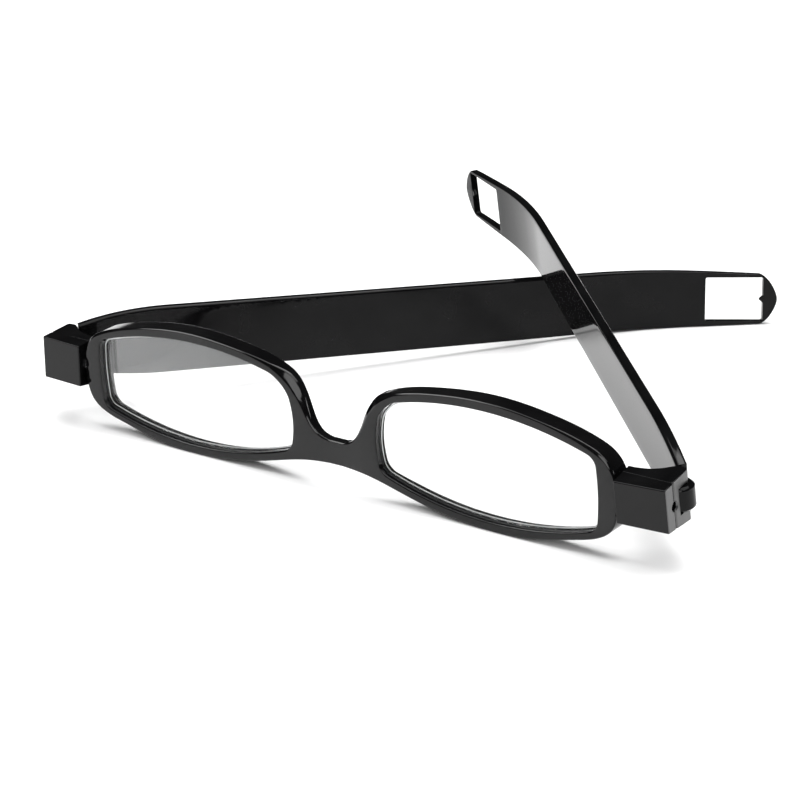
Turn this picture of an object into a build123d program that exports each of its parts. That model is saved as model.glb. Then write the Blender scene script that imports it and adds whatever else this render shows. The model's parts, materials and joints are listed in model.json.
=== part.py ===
"""Folding reading glasses with swivelling temple blocks, lying upside down, half folded.

Units are millimetres. X runs along the front from the left end to the right end, Y runs back
from the front face, and Z is up from the surface that the glasses lie on. The origin is under
the middle of the whole object.
"""

from math import cos, radians, sin
import os

from build123d import *

# Where the front stands
FRONT_Y = -55.21          # front face of the rims
AXIS_HEIGHT = 12.53       # swivel axis above the surface

# Front frame
RIM_DEPTH = 4.2           # at the outer ends
BRIDGE_DEPTH = 2.2
END_X = 60.2              # flat outer end of a rim
LENS_THICKNESS = 1.0
LENS_FRONT_Y = 1.5        # front of the lens groove, behind the front face
GROOVE_DEPTH = 0.5
LENS_EDGE_GAP = 0.05

# Points of the front, (outwards from the middle, up from the swivel axis)
NOTCH_FLAT = 1.6          # half of the straight parts above and below the bridge
NOTCH_HEIGHT = -2.8
BRIDGE_LOW = -7.5
UPPER_EDGE = (
    (NOTCH_FLAT, NOTCH_HEIGHT), (3.7, -2.1), (5.1, -0.5), (6.2, 2.1), (7.5, 5.1), (9.6, 7.6),
    (13.0, 9.1), (21.5, 10.8), (33.5, 11.7), (45.5, 10.45), (54.4, 8.2), (57.9, 6.4),
    (59.6, 4.1), (END_X, 1.7),
)
LOWER_EDGE = (
    (END_X, -2.6), (59.85, -4.6), (58.9, -6.6), (57.0, -8.15), (51.4, -10.0), (42.5, -12.0),
    (33.0, -12.5), (22.5, -11.5), (12.5, -9.2), (6.5, -7.9), (NOTCH_FLAT, BRIDGE_LOW),
)

# Back of the front seen from above, (outwards from the middle, depth)
BACK_EDGE = (
    (3.0, BRIDGE_DEPTH), (6.0, 2.3), (9.2, 2.85), (16.0, 3.7), (35.0, 4.05), (61.0, RIM_DEPTH),
)

# Corners of a lens opening, and the middles of its four shallow arcs, placed in the same way
OPENING_NOSE_TOP = (11.4, 6.8)
OPENING_TOP_MIDDLE = (33.6, 9.85)
OPENING_END_TOP = (55.9, 6.0)
OPENING_END_MIDDLE = (56.35, -0.6)
OPENING_END_LOW = (55.9, -7.2)
OPENING_LOW_MIDDLE = (33.0, -10.75)
OPENING_NOSE_LOW = (10.4, -6.6)
OPENING_NOSE_MIDDLE = (9.5, 0.0)
OPENING_CORNER = 1.45
OPENING_NOSE_CORNER = 3.3

# Swivel joint, one at each end
AXIS_Y = 1.9              # swivel axis behind the front face
INSERT_RADIUS = 1.25
INSERT_LENGTH = 2.5
SCREW_RADIUS = 0.7
SCREW_LENGTH_IN_INSERT = 2.3
WASHER_RADIUS = 1.6
WASHER_THICKNESS = 0.3
RUNNING_CLEARANCE = 0.05
SPRING_RADIUS = 1.3
SPRING_THICKNESS = 0.4
HEAD_RADIUS = 1.25
HEAD_LENGTH = 1.1
DRIVE_SLOT_WIDTH = 0.35
DRIVE_SLOT_DEPTH = 0.5

# Swivel block
BLOCK_INNER_X = 60.6
BLOCK_OUTER_X = 70.5
BLOCK_FRONT_INNER = -1.25   # front face, from the front of the rims
BLOCK_FRONT_OUTER = -0.55
BLOCK_BACK_INNER = 3.85
BLOCK_BACK_MIDDLE = 4.15
BLOCK_BACK_OUTER = 6.8
BLOCK_HALF_FRONT = 4.03
BLOCK_HALF_BACK = 4.88
BLOCK_CORNER = 0.7
INNER_WALL = 1.2
CAVITY_RADIUS = 1.4
CAVITY_LENGTH = 3.6
ACCESS_RADIUS = 0.75

# Temple hinge
PIN_X = 69.2
PIN_Y = 5.7
PIN_RADIUS = 0.6
PIN_SKIN = 0.6            # plastic left over the pin's blind end
KNUCKLE_RADIUS = 2.55
KNUCKLE_HALF = 2.35
SLOT_GAP = 0.15

# Temple blade
THICKNESS = 2.0           # at the hinge
BEND_THICKNESS = 1.6
TIP_THICKNESS = 1.4
BLADE_START = 1.6         # distance from the pin where the full-height blade begins
NECK_OVERLAP = 1.0        # of the knuckle's neck into the blade
STRAIGHT_LENGTH = 116.0
TIP_LENGTH = 27.2
TIP_BEND = 15.5
BEND_RADIUS = 80.0
ROOT_HALF = 4.7
FLARE_LENGTH = 19.0
BLADE_TOP = 7.0           # at the end of the flare, above the swivel axis
BLADE_BOTTOM = 6.5
TAPER_START = 88.0
TAPER_HALF = 6.45
WINDOW_START = 12.7       # along the tip part, from the bend
WINDOW_LENGTH = 11.6
WINDOW_HALF = 4.6
WINDOW_CORNER = 0.35
TIP_HALF = 5.2
TIP_ROUND = 3.6           # length of the rounded end
TIP_SHOULDER = 1.9        # the straight edge's tangent runs on to this distance from the end
TIP_NOSE = 1.6            # half width over which the end stays blunt
TOOTH_LENGTH = 0.85
TOOTH_HALF = 0.7
TOOTH_THICKNESS = 0.7     # from the inner face

# The pose in which the glasses lie
SIDES = {"left": -1, "right": 1}
SWIVEL_ANGLE = {"left": -3.84, "right": 6.15}
FOLD_ANGLE = {"left": 50.8, "right": 42.9}

FRONT_PLANE = Plane(origin=(0, FRONT_Y, AXIS_HEIGHT), x_dir=(1, 0, 0), z_dir=(0, -1, 0))


def block_plane(side_name):
    """Seen from above: x outwards from the middle, y across, both through the swivel axis."""
    turn = radians(SWIVEL_ANGLE[side_name])
    return Plane(
        origin=(0, FRONT_Y + AXIS_Y, AXIS_HEIGHT),
        x_dir=(SIDES[side_name], 0, 0),
        z_dir=(0, -sin(turn), cos(turn)),
    )


def end_plane(side_name, outwards):
    """Looks along the swivel axis, at a distance outwards from the middle."""
    plan = block_plane(side_name)
    return Plane(
        origin=plan.from_local_coords((outwards, 0, 0)),
        x_dir=plan.y_dir,
        z_dir=plan.x_dir,
    )


def temple_plane(side_name):
    """Seen from above: origin on the hinge pin, x along the blade."""
    side = SIDES[side_name]
    turn = radians(FOLD_ANGLE[side_name])
    plan = block_plane(side_name)
    return Plane(
        origin=plan.from_local_coords((PIN_X, side * (PIN_Y - AXIS_Y), 0)),
        x_dir=plan.y_dir * (side * sin(turn)) - plan.x_dir * cos(turn),
        z_dir=plan.z_dir,
    )


def tip_plane(side_name):
    """Flat on the inner face of the bent tip, x along it from the bend, y up."""
    side = SIDES[side_name]
    bend = radians(TIP_BEND)
    plan = temple_plane(side_name)
    along = plan.x_dir * cos(bend) + plan.y_dir * (side * sin(bend))
    return Plane(
        origin=plan.from_local_coords((STRAIGHT_LENGTH, 0, 0)),
        x_dir=along,
        z_dir=along.cross(plan.z_dir),
    )



def opening_outline(side, grow):
    """Lens opening, or the same outline grown all round: four shallow arcs, rounded corners."""

    def place(point, outwards, up):
        return (side * (point[0] + outwards * grow), point[1] + up * grow)

    nose_top = place(OPENING_NOSE_TOP, -1, 1)
    end_top = place(OPENING_END_TOP, 1, 1)
    end_low = place(OPENING_END_LOW, 1, -1)
    nose_low = place(OPENING_NOSE_LOW, -1, -1)
    with BuildSketch(Plane.XY) as outline:
        with BuildLine():
            ThreePointArc(nose_top, place(OPENING_TOP_MIDDLE, 0, 1), end_top)
            ThreePointArc(end_top, place(OPENING_END_MIDDLE, 1, 0), end_low)
            ThreePointArc(end_low, place(OPENING_LOW_MIDDLE, 0, -1), nose_low)
            ThreePointArc(nose_low, place(OPENING_NOSE_MIDDLE, -1, 0), nose_top)
        make_face()
        nose_corner = outline.vertices().sort_by_distance(nose_top)[0]
        others = [corner for corner in outline.vertices() if corner != nose_corner]
        fillet(others, radius=OPENING_CORNER + grow)
        nose_corner = outline.vertices().sort_by_distance(nose_top)[0]
        fillet(nose_corner, radius=OPENING_NOSE_CORNER + grow)
    return outline.sketch


lens_openings = {name: opening_outline(side, 0) for name, side in SIDES.items()}
lens_grooves = {name: opening_outline(side, GROOVE_DEPTH + LENS_EDGE_GAP) for name, side in SIDES.items()}
lens_edges = {name: opening_outline(side, GROOVE_DEPTH) for name, side in SIDES.items()}

# Outer edge of the whole front, with the nose notch upwards
with BuildSketch(Plane.XY) as front_outline:
    with BuildLine():
        Line((0, NOTCH_HEIGHT), UPPER_EDGE[0])
        Spline(*UPPER_EDGE)
        Line(UPPER_EDGE[-1], LOWER_EDGE[0])
        Spline(*LOWER_EDGE)
        Line(LOWER_EDGE[-1], (0, BRIDGE_LOW))
        Line((0, BRIDGE_LOW), (0, NOTCH_HEIGHT))
    make_face()
    mirror(about=Plane.YZ)

# Seen from above: the back of the front is nearer at the bridge than at the ends
with BuildSketch(Plane.XY) as depth_outline:
    with BuildLine():
        Polyline((0, 0), (0, BRIDGE_DEPTH), BACK_EDGE[0])
        Spline(*BACK_EDGE)
        Polyline(BACK_EDGE[-1], (BACK_EDGE[-1][0], 0), (0, 0))
    make_face()
    mirror(about=Plane.YZ)

with BuildPart() as front_frame:
    with BuildSketch(FRONT_PLANE):
        add(front_outline.sketch)
    extrude(amount=-RIM_DEPTH)
    with BuildSketch(Plane((0, FRONT_Y, 0))):
        add(depth_outline.sketch)
    extrude(amount=2 * AXIS_HEIGHT, mode=Mode.INTERSECT)
    for side_name in SIDES:
        with BuildSketch(FRONT_PLANE):
            add(lens_openings[side_name])
        extrude(amount=-RIM_DEPTH, mode=Mode.SUBTRACT)
        with BuildSketch(FRONT_PLANE.offset(-LENS_FRONT_Y)):
            add(lens_grooves[side_name])
        extrude(amount=-LENS_THICKNESS, mode=Mode.SUBTRACT)
    for side in SIDES.values():
        bore_plane = Plane(
            origin=(side * END_X, FRONT_Y + AXIS_Y, AXIS_HEIGHT), x_dir=(0, 1, 0), z_dir=(side, 0, 0)
        )
        with BuildSketch(bore_plane):
            Circle(INSERT_RADIUS)
        extrude(amount=-INSERT_LENGTH, mode=Mode.SUBTRACT)
front_frame.part.label = "front_frame"


def make_lens(side_name):
    with BuildPart() as lens:
        with BuildSketch(FRONT_PLANE.offset(-LENS_FRONT_Y)):
            add(lens_edges[side_name])
        extrude(amount=-LENS_THICKNESS)
    lens.part.label = f"{side_name}_lens"
    return lens


def make_insert(side_name):
    """Threaded brass insert in the end of the rim; its thread is a plain bore."""
    with BuildPart() as insert:
        with BuildSketch(end_plane(side_name, END_X - INSERT_LENGTH)):
            Circle(INSERT_RADIUS)
            Circle(SCREW_RADIUS, mode=Mode.SUBTRACT)
        extrude(amount=INSERT_LENGTH)
    insert.part.label = f"{side_name}_swivel_insert"
    return insert


def make_washer(side_name):
    """Thin bearing washer between the rim and the swivel block."""
    with BuildPart() as washer:
        with BuildSketch(end_plane(side_name, END_X)):
            Circle(WASHER_RADIUS)
            Circle(SCREW_RADIUS + RUNNING_CLEARANCE, mode=Mode.SUBTRACT)
        extrude(amount=WASHER_THICKNESS)
    washer.part.label = f"{side_name}_swivel_washer"
    return washer


HEAD_SEAT = BLOCK_INNER_X + INNER_WALL + RUNNING_CLEARANCE + SPRING_THICKNESS


def make_spring(side_name):
    """Disc spring under the screw head, which gives the swivel its friction."""
    inner = SCREW_RADIUS + RUNNING_CLEARANCE
    with BuildPart() as spring:
        with BuildSketch(end_plane(side_name, HEAD_SEAT - SPRING_THICKNESS)):
            Circle(SPRING_RADIUS)
            Circle(inner, mode=Mode.SUBTRACT)
        extrude(amount=SPRING_THICKNESS / 2)
        with BuildSketch(end_plane(side_name, HEAD_SEAT - SPRING_THICKNESS / 2)):
            Circle(HEAD_RADIUS - SPRING_THICKNESS / 2)
            Circle(inner, mode=Mode.SUBTRACT)
        extrude(amount=SPRING_THICKNESS / 2)
    spring.part.label = f"{side_name}_swivel_spring"
    return spring


def make_screw(side_name):
    """Swivel screw: shank in the insert, slotted head inside the block."""
    shank_start = END_X - SCREW_LENGTH_IN_INSERT
    with BuildPart() as screw:
        with BuildSketch(end_plane(side_name, shank_start)):
            Circle(SCREW_RADIUS)
        extrude(amount=HEAD_SEAT - shank_start)
        with BuildSketch(end_plane(side_name, HEAD_SEAT)):
            Circle(HEAD_RADIUS)
        extrude(amount=HEAD_LENGTH)
        with BuildSketch(end_plane(side_name, HEAD_SEAT + HEAD_LENGTH)):
            Rectangle(2 * HEAD_RADIUS, DRIVE_SLOT_WIDTH)
        extrude(amount=-DRIVE_SLOT_DEPTH, mode=Mode.SUBTRACT)
    screw.part.label = f"{side_name}_swivel_screw"
    return screw


def block_outline(side_name):
    """Block seen from above, with a hollow in its back where the folded blade lies."""
    side = SIDES[side_name]

    def place(outwards, back):
        return (outwards, side * (back - AXIS_Y))

    hollow_end = PIN_X - KNUCKLE_RADIUS
    with BuildSketch(Plane.XY) as outline:
        with BuildLine():
            Polyline(
                place(BLOCK_INNER_X, BLOCK_BACK_INNER),
                place(BLOCK_INNER_X, BLOCK_FRONT_INNER),
                place(BLOCK_OUTER_X, BLOCK_FRONT_OUTER),
                place(BLOCK_OUTER_X, BLOCK_BACK_OUTER),
                place(PIN_X, BLOCK_BACK_OUTER),
            )
            Spline(
                place(PIN_X, BLOCK_BACK_OUTER),
                place(hollow_end, BLOCK_BACK_MIDDLE + GROOVE_DEPTH),
                place(BLOCK_INNER_X + INNER_WALL, BLOCK_BACK_INNER),
                tangents=[(-1, 0), (-1, 0)],
            )
            Line(
                place(BLOCK_INNER_X + INNER_WALL, BLOCK_BACK_INNER),
                place(BLOCK_INNER_X, BLOCK_BACK_INNER),
            )
        make_face()
        corner = outline.vertices().sort_by_distance((BLOCK_OUTER_X, side * (BLOCK_BACK_OUTER - AXIS_Y)))[0]
        fillet(corner, radius=BLOCK_CORNER)
    return outline.sketch


def make_shell(side_name, half_name):
    """Front or rear half of the block, split at the seam through the swivel axis.

    The rear half has an ear above and an ear below the temple's knuckle.
    """
    side = SIDES[side_name]
    front = side * (BLOCK_FRONT_INNER - AXIS_Y)
    back = side * (BLOCK_BACK_OUTER - AXIS_Y)
    far, half_far = (front, BLOCK_HALF_FRONT) if half_name == "front" else (back, BLOCK_HALF_BACK)
    seam_share = front / (front - back)
    half_seam = BLOCK_HALF_FRONT + seam_share * (BLOCK_HALF_BACK - BLOCK_HALF_FRONT)
    block_length = BLOCK_OUTER_X - BLOCK_INNER_X
    outline = block_outline(side_name)
    hinge = temple_plane(side_name)
    slot_half = KNUCKLE_HALF + SLOT_GAP
    with BuildPart() as shell:
        with BuildSketch(block_plane(side_name).offset(-BLOCK_HALF_BACK)):
            add(outline)
        extrude(amount=2 * BLOCK_HALF_BACK)
        with BuildSketch(end_plane(side_name, BLOCK_INNER_X)):
            with BuildLine():
                Polyline((0, half_seam), (far, half_far), (far, -half_far), (0, -half_seam), close=True)
            make_face()
        extrude(amount=block_length, mode=Mode.INTERSECT)
        with BuildSketch(end_plane(side_name, BLOCK_INNER_X)):
            Circle(SCREW_RADIUS + RUNNING_CLEARANCE)
        extrude(amount=INNER_WALL, mode=Mode.SUBTRACT)
        with BuildSketch(end_plane(side_name, BLOCK_INNER_X + INNER_WALL)):
            Circle(CAVITY_RADIUS)
        extrude(amount=CAVITY_LENGTH, mode=Mode.SUBTRACT)
        with BuildSketch(end_plane(side_name, BLOCK_INNER_X + INNER_WALL + CAVITY_LENGTH)):
            Circle(ACCESS_RADIUS)
        extrude(amount=block_length, mode=Mode.SUBTRACT)
        if half_name == "rear":
            with BuildSketch(hinge.offset(-slot_half)):
                Circle(KNUCKLE_RADIUS + SLOT_GAP)
            extrude(amount=2 * slot_half, mode=Mode.SUBTRACT)
            with BuildSketch(hinge.offset(-BLOCK_HALF_BACK)):
                Circle(PIN_RADIUS)
            extrude(amount=2 * BLOCK_HALF_BACK - PIN_SKIN, mode=Mode.SUBTRACT)
    shell.part.label = f"{side_name}_block_{half_name}_shell"
    return shell


def make_front_shell(side_name):
    return make_shell(side_name, "front")


def make_rear_shell(side_name):
    return make_shell(side_name, "rear")


def make_pin(side_name):
    with BuildPart() as pin:
        with BuildSketch(temple_plane(side_name).offset(-BLOCK_HALF_BACK + PIN_SKIN / 2)):
            Circle(PIN_RADIUS)
        extrude(amount=2 * BLOCK_HALF_BACK - PIN_SKIN * 3 / 2)
    pin.part.label = f"{side_name}_hinge_pin"
    return pin


def make_temple(side_name):
    """Flat blade with a knuckle at the pin, a bent tip, a window and a locking tooth."""
    side = SIDES[side_name]
    bend = radians(TIP_BEND)
    plan = temple_plane(side_name)
    elevation = Plane(origin=plan.origin, x_dir=plan.x_dir, z_dir=plan.x_dir.cross(plan.z_dir))
    tip = tip_plane(side_name)
    tip_x = STRAIGHT_LENGTH + TIP_LENGTH * cos(bend)
    tip_inner = TIP_LENGTH * sin(bend)
    round_start = tip_x - TIP_ROUND
    with BuildPart() as temple:
        with BuildSketch(plan.offset(-BLADE_TOP)) as band:
            with BuildLine():
                Polyline(
                    (BLADE_START, 0),
                    (STRAIGHT_LENGTH, 0),
                    (tip_x, side * tip_inner),
                    (tip_x + TIP_THICKNESS * sin(bend), side * (tip_inner - TIP_THICKNESS * cos(bend))),
                    (STRAIGHT_LENGTH + TIP_THICKNESS * sin(bend / 2), -side * BEND_THICKNESS),
                    (BLADE_START, -side * THICKNESS),
                    close=True,
                )
            make_face()
            bends = band.vertices().sort_by_distance((STRAIGHT_LENGTH, 0))[:2]
            fillet(bends, radius=BEND_RADIUS)
        extrude(amount=2 * BLADE_TOP)
        with BuildSketch(elevation.offset(-TIP_LENGTH)):
            with BuildLine():
                Line((BLADE_START, -ROOT_HALF), (BLADE_START, ROOT_HALF))
                for up, flare in ((1, BLADE_TOP), (-1, BLADE_BOTTOM)):
                    Bezier(
                        (BLADE_START, up * ROOT_HALF), (FLARE_LENGTH / 2, up * flare),
                        (FLARE_LENGTH, up * flare),
                    )
                    Line((FLARE_LENGTH, up * flare), (TAPER_START, up * TAPER_HALF))
                    Bezier(
                        (TAPER_START, up * TAPER_HALF), (STRAIGHT_LENGTH, up * TAPER_HALF),
                        (round_start, up * TIP_HALF),
                    )
                    Bezier(
                        (round_start, up * TIP_HALF), (tip_x - TIP_SHOULDER, up * TIP_HALF),
                        (tip_x, up * TIP_NOSE), (tip_x, 0),
                    )
            make_face()
        extrude(amount=2 * TIP_LENGTH, mode=Mode.INTERSECT)
        with BuildSketch(tip.offset(-TIP_LENGTH)):
            with Locations((WINDOW_START + WINDOW_LENGTH / 2, 0)):
                RectangleRounded(WINDOW_LENGTH, 2 * WINDOW_HALF, WINDOW_CORNER)
        extrude(amount=2 * TIP_LENGTH, mode=Mode.SUBTRACT)
        with BuildSketch(tip):
            with BuildLine():
                window_end = WINDOW_START + WINDOW_LENGTH
                Polyline(
                    (window_end, TOOTH_HALF),
                    (window_end - TOOTH_LENGTH, 0),
                    (window_end, -TOOTH_HALF),
                    close=True,
                )
            make_face()
        extrude(amount=side * TOOTH_THICKNESS)
        with BuildSketch(plan.offset(-KNUCKLE_HALF)):
            Circle(KNUCKLE_RADIUS)
            neck = BLADE_START + NECK_OVERLAP
            with Locations((neck / 2, -side * THICKNESS / 2)):
                Rectangle(neck, THICKNESS)
        extrude(amount=2 * KNUCKLE_HALF)
        with BuildSketch(plan.offset(-KNUCKLE_HALF)):
            Circle(PIN_RADIUS + RUNNING_CLEARANCE)
        extrude(amount=2 * KNUCKLE_HALF, mode=Mode.SUBTRACT)
    temple.part.label = f"{side_name}_temple"
    return temple


MAKERS = (
    make_lens, make_insert, make_washer, make_spring, make_screw,
    make_front_shell, make_rear_shell, make_pin, make_temple,
)

os.makedirs("parts", exist_ok=True)
export_step(front_frame.part, "parts/front_frame.step")
for side_name in SIDES:
    for make in MAKERS:
        piece = make(side_name)
        export_step(piece.part, f"parts/{piece.part.label}.step")
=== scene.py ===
"""Folding reading glasses with swivelling temple blocks, lying upside down, half folded."""

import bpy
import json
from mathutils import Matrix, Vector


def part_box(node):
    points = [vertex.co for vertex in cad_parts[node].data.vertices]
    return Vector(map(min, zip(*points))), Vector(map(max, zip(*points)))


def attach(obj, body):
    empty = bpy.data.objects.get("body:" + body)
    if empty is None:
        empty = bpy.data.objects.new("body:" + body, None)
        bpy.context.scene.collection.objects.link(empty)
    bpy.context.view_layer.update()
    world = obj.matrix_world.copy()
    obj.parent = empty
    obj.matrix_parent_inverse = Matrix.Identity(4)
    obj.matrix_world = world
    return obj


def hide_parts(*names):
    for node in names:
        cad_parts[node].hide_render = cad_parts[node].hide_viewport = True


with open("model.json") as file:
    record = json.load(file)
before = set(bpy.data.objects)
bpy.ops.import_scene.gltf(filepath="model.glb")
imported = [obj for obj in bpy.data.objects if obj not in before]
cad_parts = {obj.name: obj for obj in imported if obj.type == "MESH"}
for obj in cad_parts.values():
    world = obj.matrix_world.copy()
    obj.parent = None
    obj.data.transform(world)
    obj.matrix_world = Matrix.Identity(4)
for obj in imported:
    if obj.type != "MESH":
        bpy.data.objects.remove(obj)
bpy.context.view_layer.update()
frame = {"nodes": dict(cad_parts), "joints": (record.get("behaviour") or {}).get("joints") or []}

import json
from math import atan2, cos, pi, radians, sin, tan

import bmesh
import bpy
import numpy as np
from mathutils import Matrix, Vector, geometry

MM = 0.001

# Lengths are in mm unless the comment says metres.

# Where the pieces stand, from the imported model
JOINTS = {joint["name"]: joint for joint in frame["joints"]}
FRONT_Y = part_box("front_frame")[0].y / MM
AXIS_HEIGHT = JOINTS["left_swivel"]["pos_m"][2] / MM
AXIS_BACK = JOINTS["left_swivel"]["pos_m"][1] / MM - FRONT_Y
PIN_OUT = JOINTS["right_fold"]["pos_m"][0] / MM
SIDES = {"left": -1, "right": 1}
FOLD_ANGLE = {"left": 50.8, "right": 42.9}  # degrees between each blade and the front

# Front: depths from the middle outwards, and outlines of the right half about the swivel axis
BRIDGE_DEPTH = 2.2
RIM_DEPTH = 4.2
RIM_DEPTHS = [
    (0, BRIDGE_DEPTH), (3, BRIDGE_DEPTH), (6, 2.3), (9.2, 2.85), (16, 3.7), (35, 4.05), (61, RIM_DEPTH),
]
DEPTH_STEP = 0.5
DEPTH_COUNT = 124
DEPTH_WINDOW = 9
BRIDGE_HOLLOW = 0.22
BRIDGE_HOLLOW_HALF = 8.5
END_X = 60.2
END_TOP = 1.7
END_LOW = -2.6
FLAT_HALF = 0.8
NOTCH_HEIGHT = -2.8
BRIDGE_LOW = -7.5
TOP_POINTS = [
    (1.6, NOTCH_HEIGHT), (3.7, -2.1), (5.1, -0.5), (6.2, 2.1), (7.5, 5.1), (9.6, 7.6), (13.0, 9.1),
    (21.5, 10.8), (33.5, 11.7), (45.5, 10.45), (54.4, 8.2), (57.9, 6.4), (59.6, 4.1), (END_X, END_TOP),
]
BOTTOM_POINTS = [
    (END_X, END_LOW), (59.85, -4.6), (58.9, -6.6), (57.0, -8.15), (51.4, -10.0), (42.5, -12.0),
    (33.0, -12.5), (22.5, -11.5), (12.5, -9.2), (6.5, -7.9), (1.6, BRIDGE_LOW),
]
OPENING_CORNERS = [(11.4, 6.8), (55.9, 6.0), (55.9, -7.2), (10.4, -6.6)]
OPENING_MIDDLES = [(33.6, 9.85), (56.35, -0.6), (33.0, -10.75), (9.5, 0.0)]
OPENING_RADII = [1.45, 1.45, 1.45, 3.3]

# Edges of the front: the chamfer's size from the middle outwards, and its section
PLAIN_EDGE = 0.3
EDGE_PLACES = (3.5, 5.5, 8.0, 10.0, 14.0, 20.0, 45.0, 56.0, 60.0)
EDGE_SIZES = (0.3, 0.7, 1.6, 1.5, 0.6, 0.25, 0.25, 0.6, 0.45)
EDGE_FADE = (-3.0, 1.0)
CHAMFER = [(1.0, 0.0), (0.8, 0.045), (0.64, 0.16), (0.16, 0.64), (0.045, 0.8), (0.0, 1.0)]
FLARE_WIDTH = 0.9
FLARE_DEPTH = 1.5
FLARE_LEAST = 0.1
FLARE_SEGMENTS = 6

# Lenses and their seats
LENS_FRONT = 1.5
LENS_THICKNESS = 1.0
LENS_MIDDLE = 33.4
LENS_HALF_WIDTH = 24.0
LENS_HALF_HEIGHT = 11.0
LENS_CROWN = 0.16
LENS_ROUND = 0.14
GROOVE_DEPTH = 0.5
GROOVE_PLAY = 0.05
SEAT_LIP = 0.12
SEAT_STEP = 0.03
BEVEL = 0.1
BEVEL_INNER = 0.48
BEVEL_OUTER = 0.16
BEVEL_LAND = 0.1
BEVEL_FACING = (0.5, 0.975)  # share of the normal that points forwards on the bevel

# Block: x from the middle of the glasses, depths behind the front face
BLOCK_INNER_X = 60.6
BLOCK_OUTER_X = 70.5
BLOCK_HALF_FRONT = 4.03
BLOCK_HALF_BACK = 4.88
BLOCK_FRONT_INNER = -1.25
BLOCK_FRONT_OUTER = -0.55
BLOCK_BACK_INNER = 3.85
BLOCK_BACK_OUTER = 6.8
SCOOP_POINTS = [(67.9, 6.35), (66.3, 5.2), (64.4, 4.35)]
SCOOP_INNER_X = BLOCK_INNER_X + 1.2
SCOOP_OUTER_X = PIN_OUT - 0.6
BLOCK_EDGE = 0.2
BLOCK_CORNER = 0.24
INNER_CORNER = 0.25
EAR_CORNER = 0.7
SEAM_INNER_CORNER = 0.13
SEAM_OUTER_CORNER = 0.45
SEAM_SHARE = 0.3
SEAM_REACH = 0.02
END_FACE_X = 69.9
END_FACE_FACING = 0.6
SHANK_RADIUS = 0.75
CAVITY_RADIUS = 1.4
CAVITY_INNER_X = 61.8
CAVITY_OUTER_X = 65.4
SINK_RADIUS = 1.12
SINK_INNER_X = 70.22
SINK_OUTER_X = 70.62
CUT_INNER_X = 60.0
CUT_OUTER_X = 72.0
PIN_BACK = 5.7
SLOT_GAP = 0.15

# Knuckle
KNUCKLE_RADIUS = 2.55
KNUCKLE_HALF = 2.35
KNUCKLE_SIDE = 2.0
KNUCKLE_SEGMENTS = 40
KNUCKLE_NECK = [(2.3, -1.96), (2.5, -0.3)]
KNUCKLE_CHAMFER = [(0.55, 0.0), (0.5, 0.02), (0.04, 0.48), (0.0, 0.56)]

# Temple: x along the blade from the hinge pin
STRAIGHT_LENGTH = 116.0
TIP_LENGTH = 27.2
TIP_BEND = radians(15.5)
BEND_RADIUS = 80.0
BLADE_START = 1.6
ROOT_THICKNESS = 2.0
BEND_THICKNESS = 1.6
TIP_THICKNESS = 1.4
ROOT_HALF = 4.7
SWELL_X = 9.5
WIDEST_X = 19.0
UPPER_HALF = 7.0
LOWER_HALF = 6.5
TAPER_X = 88.0
TAPER_HALF = 6.45
TIP_HALF = 5.2
TIP_ROUND = 3.6
TIP_SHOULDER = 1.9
TIP_NOSE = 1.6
TIP_FADE = 6
INNER_EDGE = 0.62
OUTER_EDGE = 0.5
FINE_EDGE = 0.4
FINE_REACH = 6
WINDOW_START = 12.7
WINDOW_LENGTH = 11.6
WINDOW_HALF = 4.6
WINDOW_CORNER = 0.35
WINDOW_EDGE = 0.1
TOOTH_THICKNESS = 0.7
TOOTH_HALF = 0.7
TOOTH_ROOT = 0.5
TOOTH_BASE = 0.1
TOOTH_REACH = 0.83
TOOTH_ROOT_CORNER = 0.1
TOOTH_CORNER = 0.15
TOOTH_EDGE = 0.05
TOOTH_SINK = 0.05

# Spacing of the points inside the faces
FRONT_GRID = 1.6
FACE_GRID = 1.8

# Stage and camera
FLOOR_SIZE = 3.0  # metres
FLOOR_DROP = 0.00002  # metres
WORLD_STRENGTH = 0.03
CAMERA_LENS = 129.45
CAMERA_SENSOR = 36.0
CAMERA_CLIP = 0.01  # metres
CAMERA_AZIMUTH = radians(38.36)
CAMERA_ELEVATION = radians(22.25)
CAMERA_ROLL = radians(-3.36)
CAMERA_DISTANCE = 513.1
CAMERA_RIGHT = 12.24
CAMERA_UP = 4.18


# ---------------------------------------------------------------- outlines

CIRCLE = 0.5523  # how far a cubic's handles reach towards the corner to follow a quarter circle
SAME_POINT = 0.01
CORNER_MARGIN = 0.05


def bezier(a, b, c, d, count):
    """Points on a cubic from a to d, without d."""
    out = []
    for i in range(count):
        t = i / count
        s = 1 - t
        out.append(tuple(
            s * s * s * p + 3 * s * s * t * q + 3 * s * t * t * r + t * t * t * w
            for p, q, r, w in zip(a, b, c, d)
        ))
    return out


def through(points, step=0.5):
    """The smoothest open curve through the points, sampled at about the step."""
    pts = np.array(points, float)
    chord = np.hypot(*(pts[1:] - pts[:-1]).T)
    count = len(pts)
    matrix = np.zeros((count, count))
    known = np.zeros((count, 2))
    matrix[0, :2] = 2, 1
    known[0] = 3 * (pts[1] - pts[0]) / chord[0]
    matrix[-1, -2:] = 1, 2
    known[-1] = 3 * (pts[-1] - pts[-2]) / chord[-1]
    for i in range(1, count - 1):
        before, after = chord[i - 1], chord[i]
        matrix[i, i - 1:i + 2] = 1 / before, 2 / before + 2 / after, 1 / after
        known[i] = 3 * ((pts[i] - pts[i - 1]) / before ** 2 + (pts[i + 1] - pts[i]) / after ** 2)
    slopes = np.linalg.solve(matrix, known)
    out = []
    for i, length in enumerate(chord):
        a, d = pts[i], pts[i + 1]
        b = a + slopes[i] * length / 3
        c = d - slopes[i + 1] * length / 3
        out += bezier(a, b, c, d, max(2, round(length / step)))
    out.append(tuple(pts[-1]))
    return out


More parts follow.
